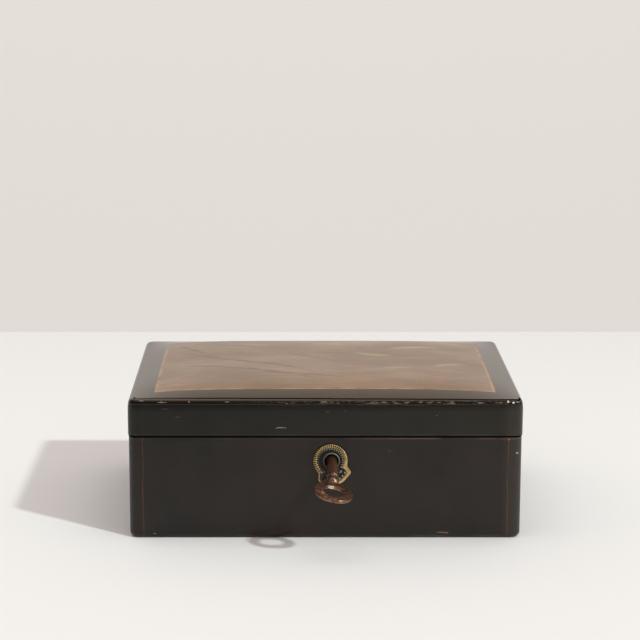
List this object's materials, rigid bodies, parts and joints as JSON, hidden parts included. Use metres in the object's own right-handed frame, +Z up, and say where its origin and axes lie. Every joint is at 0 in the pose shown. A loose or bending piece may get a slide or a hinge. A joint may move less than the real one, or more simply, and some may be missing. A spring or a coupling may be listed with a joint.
{
  "type": "deed box",
  "caption": "Low rectangular lacquered wooden box for papers with a domed hinged lid, a sunk box lock, a keyhole plate and a turning key.",
  "frame": {"origin": "middle of the flat underside of the bottom board", "axes": "+Z up, front with the keyhole towards -Y, +X along the width to the right as seen from the front"},
  "size_m": [0.25, 0.2276, 0.0975],
  "materials": {
    "case_lacquer": "urushi lacquer over wood, aged brownish black, soft gloss",
    "lid_lacquer": "urushi lacquer over wood, aged greenish black, soft gloss",
    "top_lacquer": "urushi lacquer over wood, brown decorated ground in a black border, gloss",
    "lining_paper": "dull red paper, matt",
    "peg_wood": "plain softwood, unfinished",
    "escutcheon_brass": "stamped brass, worn bright on the rim and darkened in the recess",
    "lock_brass": "sheet brass, tarnished",
    "hinge_brass": "cast brass, tarnished",
    "spring_steel": "tempered steel strip, dull",
    "key_metal": "brown patina with bright worn edges"
  },
  "bodies": {
    "case": {"front_board": "case_lacquer", "back_board": "case_lacquer", "left_end_board": "case_lacquer", "right_end_board": "case_lacquer", "bottom_board": "case_lacquer", "floor_lining": "lining_paper", "case_pegs": "peg_wood", "bottom_pegs": "peg_wood", "left_hinge_case_leaf": "hinge_brass", "left_hinge_pin": "hinge_brass", "right_hinge_case_leaf": "hinge_brass", "right_hinge_pin": "hinge_brass", "hinge_case_screws": "hinge_brass", "escutcheon": "escutcheon_brass", "escutcheon_pins": "escutcheon_brass", "lock_plate": "lock_brass", "lock_rim": "lock_brass", "lock_cap": "lock_brass", "lock_rivets": "lock_brass", "lock_spring": "spring_steel", "lock_screws": "lock_brass"},
    "lid": {"lid_front_rail": "lid_lacquer", "lid_back_rail": "lid_lacquer", "lid_left_rail": "lid_lacquer", "lid_right_rail": "lid_lacquer", "lid_top_board": "top_lacquer", "lid_pegs": "peg_wood", "left_hinge_lid_leaf": "hinge_brass", "right_hinge_lid_leaf": "hinge_brass", "hinge_lid_screws": "hinge_brass", "hook_plate": "lock_brass", "hook_plate_screws": "lock_brass"},
    "key": {"key": "key_metal"},
    "bolt": {"lock_bolt": "lock_brass"}
  },
  "joints": [
    {"name": "lid_hinge", "type": "hinge", "parent": "case", "child": "lid", "pos_m": [0, 0.0866, 0.06673], "axis": [-1, 0, 0], "range_deg": [0, 100]},
    {"name": "key_turn", "type": "hinge", "parent": "case", "child": "key", "pos_m": [0.0043, -0.0899, 0.0507], "axis": [0, 0.9703, 0.2419], "range_deg": [-102, 258]},
    {"name": "bolt_slide", "type": "slide", "parent": "case", "child": "bolt", "axis": [1, 0, 0], "range_m": [-0.0017, 0.0043]}
  ],
  "couplings": [
    {"joint": "bolt_slide", "follows": "key_turn", "m_per_rad": 0.00095493}
  ]
}
